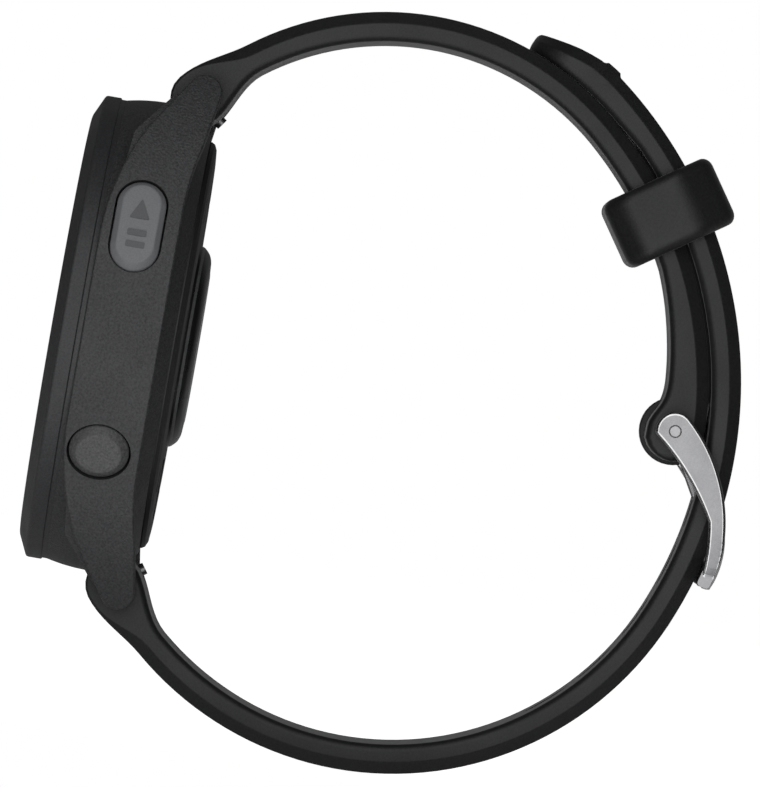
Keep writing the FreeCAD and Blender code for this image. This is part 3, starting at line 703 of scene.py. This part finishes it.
# ---- sensor ----
def make_sensor():
    trim = lathe("sensor_bezel", rounded([
        (6.6, -2.39, 0), (8.75, -2.39, 0), (8.75, -1.36, 0), (10.1, -1.36, 0.05),
        (9.8, -0.78, 0.25), (9.3, -0.34, 0.25), (8.7, -0.12, 0.25), (7.85, -0.06, 0.05),
        (7.85, -1.02, 0), (6.6, -1.02, 0),
    ]), [TRIM], segments=120)
    fit(trim, "case", "sensor_trim", "sensor_ring")
    band = lathe("sensor_band", rounded([
        (9.88, -1.14, 0), (10.0, -1.12, 0.02), (9.85, -0.84, 0.02), (9.74, -0.84, 0),
    ]), [TRIM_LIGHT], segments=120)
    fit(band, "case", "sensor_trim")
    glass = lathe("sensor_glass", [
        (0.02, -0.99), (7.79, -0.99), (7.79, -0.17), (7.74, -0.09), (7.62, -0.04), (7.3, 0.0),
        (6.9, 0.0), (0.02, 0.0),
    ], [SENSOR_GLASS], segments=120, on_axis=True)
    fit(glass, "case", "sensor_window", "sensor_lens")


# ---- straps ----
def strap_loop(outer, inner, half, chamfer, lift=0.0):
    """Closed section of a strap between a point on its outer and one on its inner face.

    The chamfer, from 0 to 1, is cut from the outer edges; lift raises the middle of the outer face.
    """
    across = Vector(outer) - Vector(inner)
    thick = across.length
    across.normalize()
    cut_x = 0.15 + 0.75 * chamfer
    cut_v = min(0.2 + 0.95 * chamfer, 0.42 * thick)
    bend = min(0.75, 0.42 * thick)
    flat = half - cut_x
    right = [(half * 0.4, -lift), (half - 1.35, -lift), (half - 1.15, 0.0), (flat - 0.12, 0.0)]
    right += [(flat - 0.03, 0.02), (flat + 0.04, 0.09), (flat + 0.1, 0.19)]
    right += [(half - 0.1, cut_v - 0.1), (half - 0.03, cut_v), (half, cut_v + 0.1)]
    for k in range(7):
        turn = math.pi / 2 * k / 6
        right.append((half - bend * (1 - math.cos(turn)), thick - bend * (1 - math.sin(turn))))
    right.append((half * 0.5, thick))
    profile = [(0, -lift)] + right + [(0, thick)] + [(-x, d) for x, d in reversed(right)]
    loop = []
    for x, depth in profile:
        p = Vector(outer) - across * depth
        loop.append((x, p.x, p.y))
    return loop


def nose_loops(centre, radial, away, r_out, r_in, half, chamfer):
    """Sections that close a strap's end round a bar or pin, from the tip inwards."""
    loops = []
    for degrees in (2, 6, 12, 20, 30, 42, 56, 72):
        turn = math.radians(degrees)
        s, c = math.sin(turn), math.cos(turn)
        tip = along(centre, away, r_out * c)
        outer = along(tip, radial, r_out * s)
        inner = along(tip, radial, -r_in * s)
        loops.append(strap_loop(outer, inner, half - 0.8 * (1 - s) ** 2, chamfer))
    return loops


def root_loops(centre, outer_r, bar_point, bar_angle, step):
    """Sections from the round end at a spring bar to where the strap has its own thickness."""
    radial = direction(bar_angle)
    away = direction(bar_angle - math.copysign(90, step))
    middle_r = math.hypot(bar_point[0] - centre[0], bar_point[1] - centre[1])
    loops = nose_loops(bar_point, radial, away, ROOT_R, ROOT_INNER, ROOT_HALF, 0.0)
    for t in steps(0, 1, 9)[:-1]:
        blend = ease(t, 0, 1)
        degrees = bar_angle + step * t
        outer = middle_r + ROOT_R + (outer_r - middle_r - ROOT_R) * blend
        inner = middle_r - ROOT_INNER + (outer_r - STRAP_T - middle_r + ROOT_INNER) * blend
        ends = (polar(centre, outer, degrees), polar(centre, inner, degrees))
        loops.append(strap_loop(*ends, ROOT_HALF, ease(t, 0.15, 1.0)))
    return loops


NECK_INNER = (           # the thicker neck before the buckle pin, as (degrees, radius)
    (NECK_END, 34.5), (3.4, 34.58), (4.4, 34.83), (5.4, 35.23), (6.4, 35.64), (7.4, 35.95),
    (8.6, 36.17), (10.0, 36.33), (13.0, 36.53), (17.0, 36.77), (22.0, 37.08), (27.0, 37.35),
)
NECK_OUTER = ((NECK_END, 40.15), (4.4, 40.22), (7.0, INNER_WRAP_R))


def make_upper_strap():
    bar = (BAR_Y, BAR_Z)
    loops = root_loops(UPPER_CENTRE, UPPER_R, bar, UPPER_ROOT, UPPER_SWEEP)
    sections = []
    for degrees in steps(UPPER_ROOT + UPPER_SWEEP, UPPER_JOIN, 34):
        sections.append((polar(UPPER_CENTRE, UPPER_R, degrees),
                         polar(UPPER_CENTRE, UPPER_R - STRAP_T, degrees), 0.0))
    neck = steps(UPPER_JOIN, 27, 12)[1:] + steps(27, 10, 12)[1:] + steps(10, NECK_END, 14)[1:]
    for degrees in neck:
        lift = 0.27 * ease(degrees, 4, 9) * (1 - ease(degrees, 42, 48))
        sections.append((polar(WRAP, table_at(NECK_OUTER, degrees), degrees),
                         polar(WRAP, table_at(NECK_INNER, degrees), degrees), lift))
    for outer, inner, lift in sections:
        narrow = ease(-outer[1], -36.0, -27.0) if outer[0] > UPPER_CENTRE[0] else 0.0
        half = ROOT_HALF + (WRAP_HALF - ROOT_HALF) * narrow
        loops.append(strap_loop(outer, inner, half, 1.0, lift))
    end = nose_loops(PIN, direction(PIN_ANGLE), direction(PIN_ANGLE - 90), BOSS_R, BOSS_R,
                     WRAP_HALF, 1.0)
    strap = loft("upper_band", loops + end[::-1], [SILICONE])
    drill(strap, bar, BAR_BORE_R, 12)
    combine(strap, knob_slot(bar, KNOB_TURN), "DIFFERENCE")
    drill(strap, PIN, PIN_BORE_R, 12)
    drill(strap, PIN, FORK_R, FORK_HALF, bevel=0.1)
    fit(strap, "upper_band", "strap_silicone", "upper_strap")


def knob_slot(bar, turn):
    """Slot in a strap's root that the release knob slides in."""
    out = direction(turn)
    side = direction(turn + 90)
    loops = []
    for distance in (0.0, 5.0):
        middle = along(bar, out, distance)
        outline = box(-8.5, -4.9, -1.1, 1.1, 1.0)
        loops.append([(x, *along(middle, side, v)) for x, v in outline])
    return loft("knob_slot", loops, [])


def hole_frame(step):
    """Middle point, outward and lengthwise directions of an adjusting hole."""
    middle_r = WRAP_R - STRAP_T / 2
    degrees = HOLE_ANGLE + math.degrees(step * HOLE_PITCH / middle_r)
    centre, outer_r = WRAP, WRAP_R
    join = LOWER_JOIN - 360
    if degrees < join:
        left = (degrees - join) * middle_r
        centre, outer_r = LOWER_CENTRE, LOWER_R
        degrees = join + left / (LOWER_R - STRAP_T / 2)
    return polar(centre, outer_r, degrees), direction(degrees), direction(degrees + 90)


def hole_tool(step):
    """Cutter for one long adjusting hole, flared at both faces."""
    surface, out, run = hole_frame(step)
    loops = []
    flare = ((4.4, 0.45), (2.95, 0.28), (2.55, 0.0), (0.5, 0.0), (0.1, 0.3), (-1.2, 0.42))
    for depth, grow in flare:
        loop = []
        middle = along(surface, out, -depth)
        for sign in (1, -1):
            for k in range(13):
                turn = math.pi * k / 12
                a = sign * (HOLE_REACH + (HOLE_R + grow) * math.sin(turn))
                x = sign * (HOLE_R + grow) * math.cos(turn)
                loop.append((x, *along(middle, run, a)))
        loops.append(loop)
    return loft("hole", loops, [])


def make_lower_strap():
    bar = (BAR_Y, -BAR_Z)
    loops = root_loops(LOWER_CENTRE, LOWER_R, bar, LOWER_ROOT, LOWER_SWEEP)
    sections = []
    for degrees in steps(LOWER_ROOT + LOWER_SWEEP, LOWER_JOIN, 48):
        sections.append((polar(LOWER_CENTRE, LOWER_R, degrees),
                         polar(LOWER_CENTRE, LOWER_R - STRAP_T, degrees), 0.0))
    inner_r = WRAP_R - STRAP_T
    taper = ((54.0, WRAP_R), (56.5, 43.34), (58.0, 43.1), (59.6, 42.82), (63.0, 42.05),
             (64.4, 41.75), (64.8, 41.64), (65.04, 41.48), (65.15, 41.28), (65.2, 41.05))
    under = ((44.0, inner_r), (47.0, 40.4), (49.07, 40.31), (52.0, 40.28),
             (55.0, 40.22), (58.0, 40.12), (61.0, 39.98), (64.0, 39.81), (64.7, 39.81),
             (65.0, 39.9), (65.14, 40.1), (65.2, 40.4))
    angles = steps(LOWER_JOIN - 360, 52.8, 60)[1:]
    angles += [53.1, 53.35, 53.6, 54.2, 54.9, 55.6, 55.85, 56.1, 56.5]
    angles += steps(57, 64.2, 9) + [64.5, 64.8, 65.0, 65.14, STRAP_TIP]
    for degrees in angles:
        lift = 0.3 * (ease(degrees, 53.15, 53.6) - ease(degrees, 55.55, 56.05))
        sections.append((polar(WRAP, table_at(taper, degrees), degrees),
                         polar(WRAP, table_at(under, degrees), degrees), lift))
    corner = 5.0
    for outer, inner, lift in sections:
        narrow = ease(outer[1], -36.0, -18.0) if outer[0] > LOWER_CENTRE[0] else 0.0
        half = ROOT_HALF + (WRAP_HALF - ROOT_HALF) * narrow
        turn = math.degrees(math.atan2(outer[1] - WRAP[1], outer[0] - WRAP[0]))
        left = math.radians(STRAP_TIP - turn) * WRAP_R
        if outer[1] > 0 and left < corner:
            half -= corner - math.sqrt(max(0.0, corner ** 2 - (corner - left) ** 2))
        loops.append(strap_loop(outer, inner, half, 1.0, lift))
    strap = loft("lower_band", loops, [SILICONE])
    drill(strap, bar, BAR_BORE_R, 12)
    combine(strap, knob_slot(bar, -KNOB_TURN), "DIFFERENCE")
    for step in HOLES:
        combine(strap, hole_tool(step), "DIFFERENCE")
    combine(strap, tongue_shape("room", 1.5, 1.3, []), "DIFFERENCE")
    fit(strap, "lower_band", "strap_silicone", "lower_strap")


# ---- keeper ----
def make_keeper():
    """Loop round both straps: a rounded section carried round a rounded rectangle."""
    radial = direction(KEEPER_ANGLE)
    run = direction(KEEPER_ANGLE + 90)
    soft = 1.1

    def outline(*right):
        left = [(-x, r, radius) for x, r, radius in reversed(right)]
        return rounded(list(right) + left, segments=5)

    outside = outline((10.2, 34.2, 1.0), (12.1, 36.3, 1.0), (12.1, 42.2, 1.0), (9.4, 45.8, 1.6))
    inside = outline((9.7, 36.95, 0.3), (10.3, 37.6, 0.3), (10.3, 42.6, 0.3), (9.15, 43.85, 0.3))
    loops = []
    for (ox, outer_r), (ix, inner_r) in zip(outside, inside):
        depth = math.hypot(ox - ix, outer_r - inner_r)
        right = []
        for k in range(7):
            turn = math.pi / 2 * k / 6
            right.append((KEEPER_HALF - soft * (1 - math.sin(turn)), soft * (1 - math.cos(turn))))
        right.append((KEEPER_HALF, depth - 0.3))
        right += [(KEEPER_HALF - 0.1, depth - 0.08), (KEEPER_HALF - 0.35, depth)]
        profile = [(0.0, 0.0)] + right + [(-s, d) for s, d in reversed(right)]
        loop = []
        for s, d in profile:
            x = ox + (ix - ox) * d / depth
            r = outer_r + (inner_r - outer_r) * d / depth
            loop.append((x, *along(along(WRAP, radial, r), run, s)))
        loops.append(loop)
    keeper = loft("keeper_loop", loops, [SILICONE], ring=True)
    fit(keeper, "keeper", "strap_silicone", "strap_keeper")


# ---- buckle ----
def plate(name, outline, x_low, x_high, bevel, materials):
    """Flat plate across X with rounded edges; the rounding takes the second material, whose lighter
    colour paints rim highlights.
    """
    turns = [math.pi / 2 * k / 3 for k in range(4)]
    rows = [(x_low + bevel * (1 - math.sin(t)), bevel * (1 - math.cos(t))) for t in reversed(turns)]
    rows += [(x_high - bevel * (1 - math.sin(t)), bevel * (1 - math.cos(t))) for t in turns]
    loops = [[(x, *p) for p in inset(outline, d)] for x, d in rows]
    return loft(name, loops, materials, rims=(0, 1, 2, 4, 5, 6))


def arm_outline():
    """Side view of an arm, from the head round the pin to the foot and back."""
    head = 1.9
    outer_head = polar(PIN, head, 42)
    inner_head = polar(PIN, head, 196)
    outer_foot = (53.65, -14.45)
    inner_foot = (52.45, -14.3)
    outline = arc_points(inner_head, polar(PIN, head, 110), outer_head, 18)[:-1]
    outline += arc_points(outer_head, (52.3, -3.0), (54.15, -9.3), 22)[:-1]
    outline += arc_points((54.15, -9.3), (54.25, -12.0), outer_foot, 8)[:-1]
    outline += [(53.55, -14.62), (53.2, -14.66), (52.8, -14.6)]
    outline += arc_points(inner_foot, (52.62, -11.5), (52.3, -8.1), 10)[:-1]
    outline += arc_points((52.3, -8.1), (50.2, -4.9), inner_head, 18)[:-1]
    return outline


def turn_feet(arm):
    """Curve an arm's foot in towards the crossbar."""
    build = bmesh.new()
    build.from_mesh(arm.data)
    for z in steps(FOOT_TOP, -14.3, 8):
        bmesh.ops.bisect_plane(build, geom=build.verts[:] + build.edges[:] + build.faces[:],
                               plane_co=Vector((0, 0, z)) * MM, plane_no=(0, 0, 1))
    for vertex in build.verts:
        past = max(0.0, FOOT_TOP - vertex.co.z / MM)
        vertex.co.x -= math.copysign(FOOT_TURN * past * past * MM, vertex.co.x)
    build.to_mesh(arm.data)
    build.free()


def make_buckle():
    # The second material is the polished rim finish, whose lighter colour paints the edge
    # highlights.
    finish = [BLASTED, POLISHED_HIGHLIGHT]
    buckle = plate("buckle", arm_outline(), ARM_INSIDE, ARM_OUTSIDE, ARM_BEVEL, finish)
    other = plate("arm", arm_outline(), -ARM_OUTSIDE, -ARM_INSIDE, ARM_BEVEL, finish)
    turn_feet(buckle)
    turn_feet(other)
    combine(buckle, other, "UNION")
    run = direction(CROSSBAR_ANGLE + 90)
    radial = direction(CROSSBAR_ANGLE)
    middle = polar(WRAP, CROSSBAR_R, CROSSBAR_ANGLE)
    section = box(-0.625, 0.625, -1.25, 1.25, 0.4)
    loops = []
    for x in (-CROSSBAR_HALF, CROSSBAR_HALF):
        loops.append([(x, *along(along(middle, radial, u), run, v)) for u, v in section])
    combine(buckle, loft("crossbar", loops, finish), "UNION")
    notch = rounded([(-1.4, -0.075, 0.2), (1.4, -0.075, 0.2), (1.75, 1.2, 0), (-1.75, 1.2, 0)])
    loops = []
    for v in (-3.0, 3.0):
        centre = along(middle, run, v)
        loops.append([(x, *along(centre, radial, u)) for x, u in notch])
    combine(buckle, loft("notch", loops, finish), "DIFFERENCE")
    drill(buckle, PIN, 0.64, 13, finish)
    fit(buckle, "buckle", "buckle_steel", "buckle_frame", degrees=40)
    tongue = tongue_shape("tongue", 0.9, 1.0, finish)
    combine(tongue, rod("eye", PIN, 1.6, -1.6, 1.6, finish, bevel=0.2), "UNION")
    drill(tongue, PIN, 0.8, 3, finish)
    fit(tongue, "tongue", "buckle_steel", "buckle_tongue", degrees=40)


def tongue_shape(name, thick, half, materials):
    """Curved bar from the pin, through the strap, to the crossbar's notch."""
    tip_r = 44.8
    path = arc_points(PIN, polar(WRAP, 40.95, -6.4), polar(WRAP, tip_r, -12.7), 22)
    path += [polar(WRAP, tip_r, d) for d in (-13.2, -13.8, -14.6, -15.4, -16.2, -16.6, -16.88)]
    loops = []
    last = len(path) - 1
    for i, p in enumerate(path):
        a = path[max(0, i - 1)]
        b = path[min(last, i + 1)]
        run = Vector((b[0] - a[0], b[1] - a[1])).normalized()
        side = (-run.y, run.x)
        shrink = 1.0 if i < last - 1 else (0.85 if i < last else 0.45)
        h, w = thick / 2 * shrink, half * (1 - (1 - shrink) * 0.5)
        soft = 0.25 * shrink
        section = box(-w, w, -h, h, soft, segments=3)
        loops.append([(x, *along(p, side, v)) for x, v in section])
    return loft(name, loops, materials)


# ---- springs of the two spring bars ----
def make_springs():
    """The CAD coils, copied and attached to their straps in place of the CAD nodes."""
    for end, z in (("upper", BAR_Z), ("lower", -BAR_Z)):
        node = frame["nodes"][end + "_bar_spring"]
        coil = bpy.data.objects.new(end + "_coil", node.data.copy())
        coil.matrix_world = node.matrix_world.copy()
        bpy.context.scene.collection.objects.link(coil)
        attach(coil, end + "_band")
        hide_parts(end + "_bar_spring")
        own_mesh(coil)


make_front()
make_dial()
make_keys()
make_sensor()
make_upper_strap()
make_lower_strap()
make_keeper()
make_buckle()
make_springs()


# ---- floor, light and camera ----
# The floor's and the camera's places are in metres.
SURROUND = 0.03          # the world's strength as light
BEHIND = 0.12            # the same towards -X, behind the watch in the view
FLOOR_SIZE = 1.6
FLOOR_CENTRE = (-0.765, 0.02)
CAMERA_DISTANCE = 1.5
CAMERA_CENTRE = (0.018485, -0.001242)
CAMERA_LEAN = 9.92       # the watch leans by this much in the view
SEEN_HEIGHT = 77.556     # height of the view in the plane X = 0, in millimetres


def make_floor():
    """Pale floor that glows white to camera rays and faintly to all others."""
    low = cad_box[0].z - 0.0004
    bpy.ops.mesh.primitive_plane_add(size=FLOOR_SIZE, location=(*FLOOR_CENTRE, low))
    floor = bpy.context.object
    floor.name = "floor"
    n = Nodes("floor_white")
    n.link(n.mix(n.noise(400, detail=1.0), (0.86, 0.86, 0.86), (0.9, 0.9, 0.9)), "Base Color")
    path = n.tree.nodes.new("ShaderNodeLightPath")
    n.link(n.span(path.outputs["Is Camera Ray"], 0.1, 1.0, 0.0, 1.0), "Emission Strength")
    n.set(Roughness=0.9)
    n.shader.inputs["Emission Color"].default_value = (1, 1, 1, 1)
    floor.data.materials.append(n.material)


def make_world():
    """White to the camera; for lighting, a dim surround that is brighter behind."""
    world = bpy.data.worlds.new("studio")
    bpy.context.scene.world = world
    world.use_nodes = True
    tree = world.node_tree
    background = tree.nodes["Background"]
    background.inputs["Color"].default_value = (1, 1, 1, 1)
    place = tree.nodes.new("ShaderNodeTexCoord")
    split = tree.nodes.new("ShaderNodeSeparateXYZ")
    tree.links.new(place.outputs["Generated"], split.inputs[0])
    behind = tree.nodes.new("ShaderNodeMapRange")
    behind.interpolation_type = "SMOOTHSTEP"
    behind.inputs["From Min"].default_value = -0.3
    behind.inputs["From Max"].default_value = -0.9
    behind.inputs["To Min"].default_value = SURROUND
    behind.inputs["To Max"].default_value = BEHIND
    tree.links.new(split.outputs["X"], behind.inputs["Value"])
    path = tree.nodes.new("ShaderNodeLightPath")
    choose = tree.nodes.new("ShaderNodeMix")
    tree.links.new(path.outputs["Is Camera Ray"], choose.inputs["Factor"])
    tree.links.new(behind.outputs["Result"], choose.inputs["A"])
    choose.inputs["B"].default_value = 1.0
    tree.links.new(choose.outputs["Result"], background.inputs["Strength"])


def make_light(name, place, size, power, aim=(0, 0.018, 0)):
    light = bpy.data.lights.new(name, "AREA")
    light.shape = "RECTANGLE"
    light.size, light.size_y = size
    light.energy = power
    holder = bpy.data.objects.new(name, light)
    holder.location = place
    toward = Vector(aim) - Vector(place)
    holder.rotation_euler = toward.to_track_quat("-Z", "Y").to_euler()
    bpy.context.scene.collection.objects.link(holder)


def make_camera():
    lean = math.radians(CAMERA_LEAN)
    camera = bpy.data.cameras.new("camera")
    camera.sensor_width = 36.0
    camera.lens = camera.sensor_width * CAMERA_DISTANCE / (SEEN_HEIGHT * MM)
    camera.clip_start = 0.05
    camera.clip_end = 20.0
    holder = bpy.data.objects.new("camera", camera)
    right = Vector((0, math.cos(lean), math.sin(lean)))
    up = Vector((0, -math.sin(lean), math.cos(lean)))
    back = Vector((1, 0, 0))
    turn = Matrix((right, up, back)).transposed()
    place = Matrix.Translation((CAMERA_DISTANCE, *CAMERA_CENTRE))
    holder.matrix_world = place @ turn.to_4x4()
    bpy.context.scene.collection.objects.link(holder)
    bpy.context.scene.camera = holder


make_floor()
make_world()
make_light("key_light", (1.75, -0.1, -0.05), (2.0, 5.0), 40)
make_camera()
bpy.context.scene.view_settings.view_transform = "Standard"

bpy.context.view_layer.update()
